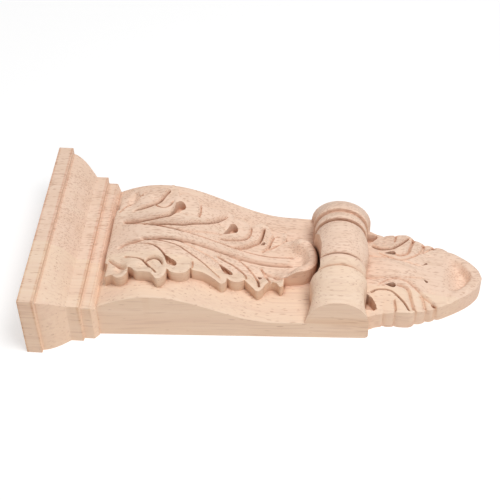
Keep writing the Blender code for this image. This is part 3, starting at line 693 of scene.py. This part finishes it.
def fold_lines(folds, eyes, border):
    """The lines along every fold's step and foot and around every eye, kept clear of the border."""
    lines = []
    for curve, outer, _, inner, _, _, _ in folds:
        line = flowing(curve, FINE)
        foot = -LINE_OFFSET * foot_side(outer, inner)
        for shift in (-STEP_WIDTH / 2, STEP_WIDTH / 2, foot, foot * (1 + LINE_REACH / LINE_OFFSET)):
            moved = shifted(line, shift)
            clear = np.abs(nearest(border, moved)[0]) > LINE_CLEARANCE
            lines.append(moved[clear & inside(border, moved)])
    for eye in eyes:
        for grow in (0, -HOLE_WALL):
            ring = teardrop(*eye[:3], grow, EYE_STEPS)
            lines.append(np.vstack([ring, ring[:1] + RING_GAP]))
    return [line for line in lines if len(line) > 1]


def block_section(x, half, top, root, radius):
    """A rectangle across the object, with rounded upper corners."""
    outline = softened([(-half, root), (-half, top), (half, top), (half, root)], radius)
    return [(x, y, z) for y, z in outline]


def cap():
    """The moulded cap."""
    profile = [(x, BLANK_THICKNESS - CAP_DROP * (1 - level)) for x, level in CAP_PROFILE]
    profile = softened([(0.0, profile[0][1] - CAP_LEAD_IN)] + profile, CORNER_ROUND)
    profile = filled_in(profile[1:], SURFACE_STEP)
    sections = []
    for x, top in profile:
        half = CAP_WIDTH / 2 - CAP_INSET * (BLANK_THICKNESS - top) / CAP_DROP
        sections.append(block_section(x, half, top, CAP_ROOT, CAP_CORNER_ROUND))
    return lofted("cap", sections)


def body():
    """The tapering body with its swept top."""
    count = int(2 * BODY_HALF_WIDTH_AT_MID / SURFACE_STEP)
    corner_end = CORNER_STEPS + 1
    sections = []
    for x in np.arange(BODY_START, BODY_END, SURFACE_STEP):
        section = block_section(x, body_half_width(x), float(ground(x)), BODY_ROOT, CORNER_ROUND)
        left = np.array(section[corner_end - 1])
        right = np.array(section[corner_end])
        across = [tuple(left + (right - left) * i / count) for i in range(1, count)]
        sections.append(section[:corner_end] + across + section[corner_end:])
    return lofted("body", sections)


def roll():
    """The scroll roll: arch sections from one end of the roll to the other."""
    arches = []
    for run in (DRUM_ARCHES, OUTER_GROOVE_ARCHES, RING_ARCHES, INNER_GROOVE_ARCHES, BARREL_ARCHES):
        arches += list(through(run))
    arches += [(-across, half, top) for across, half, top in reversed(arches[:-1])]
    sections = []
    for across, half, top in softened(arches, GROOVE_ROUND):
        left = ROLL_MIDDLE - half
        right = ROLL_MIDDLE + half
        chamfer = right - ROLL_BASE_CHAMFER
        profile = [(left, ROLL_ROOT), (chamfer, ROLL_ROOT), (chamfer, 0), (right, ROLL_BASE_CHAMFER)]
        for i in range(ROLL_STEPS + 1):
            turn = math.pi * i / ROLL_STEPS
            profile.append((ROLL_MIDDLE + half * math.cos(turn), top - half + half * math.sin(turn)))
        share = across / ROLL_REACH
        sections.append([(x, share * body_half_width(x), z) for x, z in profile])
    return lofted("roll", sections)


def tip_gap():
    """The space around the upper leaf's tip."""
    outline = flowing(TIP_GAP, TIP_GAP_SPACING)
    levels = (TIP_GAP_FLOOR, BLANK_THICKNESS + TIP_GAP_FLOOR)
    return lofted("gap", [[(x, y, z) for x, y in outline] for z in levels])


def combined(whole, other, operation):
    """The first solid with the other joined to it or cut from it."""
    change = whole.modifiers.new("change", "BOOLEAN")
    change.operation = operation
    change.solver = "MANIFOLD"
    change.object = other
    bpy.context.view_layer.update()
    evaluated = whole.evaluated_get(bpy.context.evaluated_depsgraph_get())
    solid = bpy.data.meshes.new_from_object(evaluated)
    whole.modifiers.clear()
    whole.data = solid
    bpy.data.objects.remove(other)
    return whole


def joined(parts, name):
    """One solid from overlapping ones."""
    whole = parts[0]
    for other in parts[1:]:
        whole = combined(whole, other, "UNION")
    whole.name = name
    whole.data.name = name
    return whole


def flattened(whole):
    """The solid cut off flat at its back."""
    builder = bmesh.new()
    builder.from_mesh(whole.data)
    everything = builder.verts[:] + builder.edges[:] + builder.faces[:]
    back = (0, 0, 0)
    upwards = (0, 0, 1)
    bmesh.ops.bisect_plane(builder, geom=everything, plane_co=back, plane_no=upwards, clear_inner=True)
    bmesh.ops.edgeloop_fill(builder, edges=[e for e in builder.edges if e.is_boundary])
    bmesh.ops.triangulate(builder, faces=builder.faces)
    bmesh.ops.recalc_face_normals(builder, faces=builder.faces)
    builder.to_mesh(whole.data)
    builder.free()
    return whole


def sky_directions(count):
    """Evenly spread directions over the upper half, crowded towards the pole."""
    directions = []
    for i in range(count):
        share = (i + 0.5) / count
        turn = i * math.pi * (3 - math.sqrt(5))
        flat = math.sqrt(share)
        directions.append(Vector((flat * math.cos(turn), flat * math.sin(turn), math.sqrt(1 - share))))
    return directions


def add_shelter(piece, name, reach, count, outwards):
    """Stores how far nearby wood shuts each point in, outwards for creases or inwards for thickness."""
    mesh = piece.data
    places = [vert.co for vert in mesh.vertices]
    tree = BVHTree.FromPolygons(places, [tuple(face.vertices) for face in mesh.polygons])
    sky = sky_directions(count)
    shelter = mesh.attributes.new(name, "FLOAT", "POINT")
    values = np.zeros(len(mesh.vertices), np.float32)
    for i, vert in enumerate(mesh.vertices):
        pole = vert.normal if outwards else -vert.normal
        turn = pole.to_track_quat("Z", "Y")
        start = vert.co + pole * RAY_LIFT
        total = 0.0
        for direction in sky:
            distance = tree.ray_cast(start, turn @ direction, reach)[3]
            if distance is not None:
                total += 1 - distance / reach if outwards else 1
        values[i] = total / count
    shelter.data.foreach_set("value", values)


def mesh_of_wood():
    """The whole carved onlay as one solid."""
    leaf_edge = lobed(LEAF_EDGE, LEAF_NOTCHES, FINE)
    leaf_lines = fold_lines(LEAF_FOLDS, LEAF_EYES, leaf_edge)
    leaf = carved("leaf", leaf_edge, leaf_lines, leaf_height, LEAF_ROOT_LEVEL)
    tail_edge = lobed([(TAIL_START, 0.0)] + TAIL_EDGE, TAIL_NOTCHES, FINE)
    tail_lines = fold_lines(TAIL_FOLDS, TAIL_EYES, tail_edge)
    tail = carved("tail", tail_edge, tail_lines, tail_height, TAIL_ROOT)
    rolled = combined(roll(), tip_gap(), "DIFFERENCE")
    whole = flattened(joined([body(), cap(), rolled, tail, leaf], "onlay_carving"))
    whole.data.shade_smooth()
    whole.data.set_sharp_from_angle(angle=math.radians(SHARP_ANGLE))
    return whole


class Nodes:
    """A material built from nodes."""

    def __init__(self, name):
        self.material = bpy.data.materials.new(name)
        self.material.use_nodes = True
        self.tree = self.material.node_tree
        self.tree.nodes.clear()

    def add(self, kind, settings=None, **inputs):
        """A new node with its settings, and its inputs fed by name."""
        node = self.tree.nodes.new(kind)
        for key, value in (settings or {}).items():
            setattr(node, key, value)
        for key, value in inputs.items():
            self.feed(node.inputs[key.replace("_", " ")], value)
        return node

    def feed(self, socket, value):
        """Links another node's output to the socket, or sets a constant on it."""
        if isinstance(value, bpy.types.NodeSocket):
            self.tree.links.new(value, socket)
        else:
            socket.default_value = value

    def math(self, operation, *values):
        """The result of one calculation."""
        node = self.tree.nodes.new("ShaderNodeMath")
        node.operation = operation
        for socket, value in zip(node.inputs, values):
            self.feed(socket, value)
        return node.outputs[0]

    def mix(self, share, first, second, blend="MIX"):
        """The first colour with a share of the second."""
        node = self.tree.nodes.new("ShaderNodeMix")
        node.data_type = "RGBA"
        node.blend_type = blend
        self.feed(node.inputs[0], share)
        self.feed(node.inputs[6], first)
        self.feed(node.inputs[7], second)
        return node.outputs[2]

    def between(self, value, low, high, start=0.0, end=1.0):
        """Goes smoothly from start to end as the value goes from low to high."""
        node = self.tree.nodes.new("ShaderNodeMapRange")
        node.interpolation_type = "SMOOTHSTEP"
        for socket, number in zip(node.inputs, (value, low, high, start, end)):
            self.feed(socket, number)
        return node.outputs[0]

    def marked(self, colour, pattern, marks):
        """The colour with each mark laid over it where the pattern is in the mark's span."""
        for span, shade in marks:
            colour = self.mix(self.between(pattern, *span), colour, shade)
        return colour

    def stretched(self, place, scale):
        """The place, scaled along each axis."""
        return self.add("ShaderNodeMapping", Vector=place, Scale=scale).outputs[0]

    def noise(self, place, scale, detail):
        """A cloudy pattern, so many to the millimetre along each axis."""
        stretched = self.stretched(place, scale)
        return self.add("ShaderNodeTexNoise", Vector=stretched, Scale=1.0, Detail=detail)

    def pores(self, place, along, across, plenty):
        """Short strokes along the grain, so many to the millimetre, of which a share is kept."""
        scale = (along, across, across)
        cells = self.add("ShaderNodeTexVoronoi", Vector=self.stretched(place, scale), Scale=1.0)
        chance = self.add("ShaderNodeSeparateXYZ", Vector=cells.outputs["Color"]).outputs[0]
        chosen = self.math("LESS_THAN", chance, plenty)
        return self.math("MULTIPLY", self.between(cells.outputs["Distance"], *PORE_EDGE), chosen)


def bare_wood():
    """Unfinished pale hardwood, its fibres and pores running along the object, with shade painted on
    its steep sides, in its hollows and in its creases.
    """
    n = Nodes("bare_wood")
    metres = n.add("ShaderNodeTexCoord").outputs["Object"]
    place = n.stretched(metres, (1 / MILLIMETRE, 1 / MILLIMETRE, 1 / MILLIMETRE))
    drift = n.noise(place, DRIFT, 1.0)
    bend = n.add("ShaderNodeVectorMath", {"operation": "MULTIPLY_ADD"})
    n.feed(bend.inputs[0], drift.outputs["Color"])
    n.feed(bend.inputs[1], DRIFT_REACH)
    n.feed(bend.inputs[2], place)
    along = bend.outputs[0]

    # Glued staves of slightly different wood
    across = n.add("ShaderNodeSeparateXYZ", Vector=along).outputs[1]
    near_stave = n.between(across, *NEAR_JOINT, 1.0, 0.0)
    far_stave = n.between(across, *FAR_JOINT)
    colour = n.mix(near_stave, MIDDLE_STAVE, NEAR_STAVE)
    colour = n.mix(far_stave, colour, FAR_STAVE)

    # Broad rings, then fibres, then edges rubbed pale
    colour = n.marked(colour, n.noise(along, RINGS, 3.0).outputs[0], RING_MARKS)
    fibres = n.noise(along, FIBRES, 3.0).outputs[0]
    colour = n.marked(colour, fibres, FIBRE_MARKS)
    thickness = n.add("ShaderNodeAttribute", {"attribute_name": "thick"}).outputs["Fac"]
    colour = n.marked(colour, thickness, RUBBED_MARKS)

    # Pores, few of them in the side grain
    normal = n.add("ShaderNodeSeparateXYZ", Vector=n.add("ShaderNodeTexCoord").outputs["Normal"])
    steep = n.between(normal.outputs[2], *SIDE_SPAN)
    plenty = n.between(n.noise(along, PORE_PATCHES, 2.0).outputs[0], *PORE_PLENTY)
    plenty = n.math("MULTIPLY", plenty, n.between(near_stave, 0, 1, 1, NEAR_STAVE_PLENTY))
    plenty = n.math("MULTIPLY", plenty, n.between(steep, 0, 1, 1, SIDE_PLENTY))
    long_pores = n.pores(along, *LONG_PORES, plenty)
    pore = n.math("MAXIMUM", long_pores, n.pores(along, *SHORT_PORES, plenty))
    colour = n.mix(n.math("MULTIPLY", pore, PORE_SHARE), colour, PORE_COLOUR)

    # Painted shade: the steep sides a shade darker than the tops, as less light falls on them
    colour = n.mix(steep, colour, SIDE_PAINTED_SHADE, "MULTIPLY")

    # Painted shade: the hollows a soft shade darker, and the creases and eyes painted dark brown where
    # little light reaches
    crease = n.add("ShaderNodeAttribute", {"attribute_name": "crease"}).outputs["Fac"]
    colour = n.mix(n.between(crease, *HOLLOW_SPAN), colour, HOLLOW_PAINTED_SHADE, "MULTIPLY")
    colour = n.marked(colour, crease, CREASE_PAINTED_SHADE)

    # Raised fibres and sunk pores
    fuzz = n.noise(place, FUZZ, 3.0).outputs[0]
    raised_fibres = n.math("MULTIPLY", fibres, FIBRE_RELIEF)
    relief = n.math("ADD", raised_fibres, n.math("MULTIPLY", fuzz, FUZZ_RELIEF))
    relief = n.math("SUBTRACT", relief, n.math("MULTIPLY", pore, PORE_RELIEF))
    bump = n.add("ShaderNodeBump", Strength=BUMP_STRENGTH, Distance=BUMP_DEPTH, Height=relief)
    shader = n.add("ShaderNodeBsdfPrincipled", Base_Color=colour, Normal=bump.outputs[0])
    n.feed(shader.inputs["Roughness"], n.between(fibres, *ROUGHNESS))
    n.feed(shader.inputs["Specular IOR Level"], SHEEN)
    n.add("ShaderNodeOutputMaterial", Surface=shader.outputs[0])
    return n.material


def floor():
    """A plain pale floor."""
    builder = bmesh.new()
    bmesh.ops.create_grid(builder, x_segments=1, y_segments=1, size=FLOOR_REACH)
    made = new_object("floor", builder)
    n = Nodes("pale_floor")
    shader = n.add("ShaderNodeBsdfPrincipled", Base_Color=FLOOR_COLOUR, Roughness=FLOOR_ROUGHNESS)
    n.feed(shader.inputs["Emission Color"], WHITE)
    n.feed(shader.inputs["Emission Strength"], FLOOR_GLOW)
    n.add("ShaderNodeOutputMaterial", Surface=shader.outputs[0])
    made.data.materials.append(n.material)
    return made


def lamp(name, place, size, power):
    """A soft square lamp aimed at the object."""
    light = bpy.data.lights.new(name, "AREA")
    light.energy = power
    light.size = size
    made = bpy.data.objects.new(name, light)
    made.location = place
    made.rotation_euler = (-Vector(place)).to_track_quat("-Z", "Y").to_euler()
    bpy.context.collection.objects.link(made)


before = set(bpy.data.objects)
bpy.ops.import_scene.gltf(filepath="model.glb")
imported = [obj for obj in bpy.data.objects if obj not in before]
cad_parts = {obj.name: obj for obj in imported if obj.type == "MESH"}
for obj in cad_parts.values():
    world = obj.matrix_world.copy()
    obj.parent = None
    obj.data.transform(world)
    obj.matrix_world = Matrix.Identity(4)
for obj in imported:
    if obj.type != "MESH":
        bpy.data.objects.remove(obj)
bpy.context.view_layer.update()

onlay = mesh_of_wood()
add_shelter(onlay, "crease", *CREASE_RAYS, True)
add_shelter(onlay, "thick", *THICKNESS_RAYS, False)
onlay.data.materials.clear()
onlay.data.materials.append(bare_wood())
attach(onlay, "root")
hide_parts("carved_onlay")

floor()

scene = bpy.context.scene
lens = bpy.data.cameras.new("camera")
lens.sensor_width = CAMERA_SENSOR
lens.lens = CAMERA_LENS
lens.shift_y = CAMERA_SHIFT
lens.clip_start = CAMERA_NEAREST
camera = bpy.data.objects.new("camera", lens)
camera.location = CAMERA_PLACE
camera.rotation_euler = [math.radians(turn) for turn in CAMERA_TURN]
bpy.context.collection.objects.link(camera)
scene.camera = camera

world = bpy.data.worlds.new("studio")
world.use_nodes = True
sky = world.node_tree.nodes["Background"]
sky.inputs["Color"].default_value = WHITE
sky.inputs["Strength"].default_value = SKY
scene.world = world
lamp("key", *KEY_LAMP)
lamp("fill", *FILL_LAMP)
scene.view_settings.view_transform = "Standard"
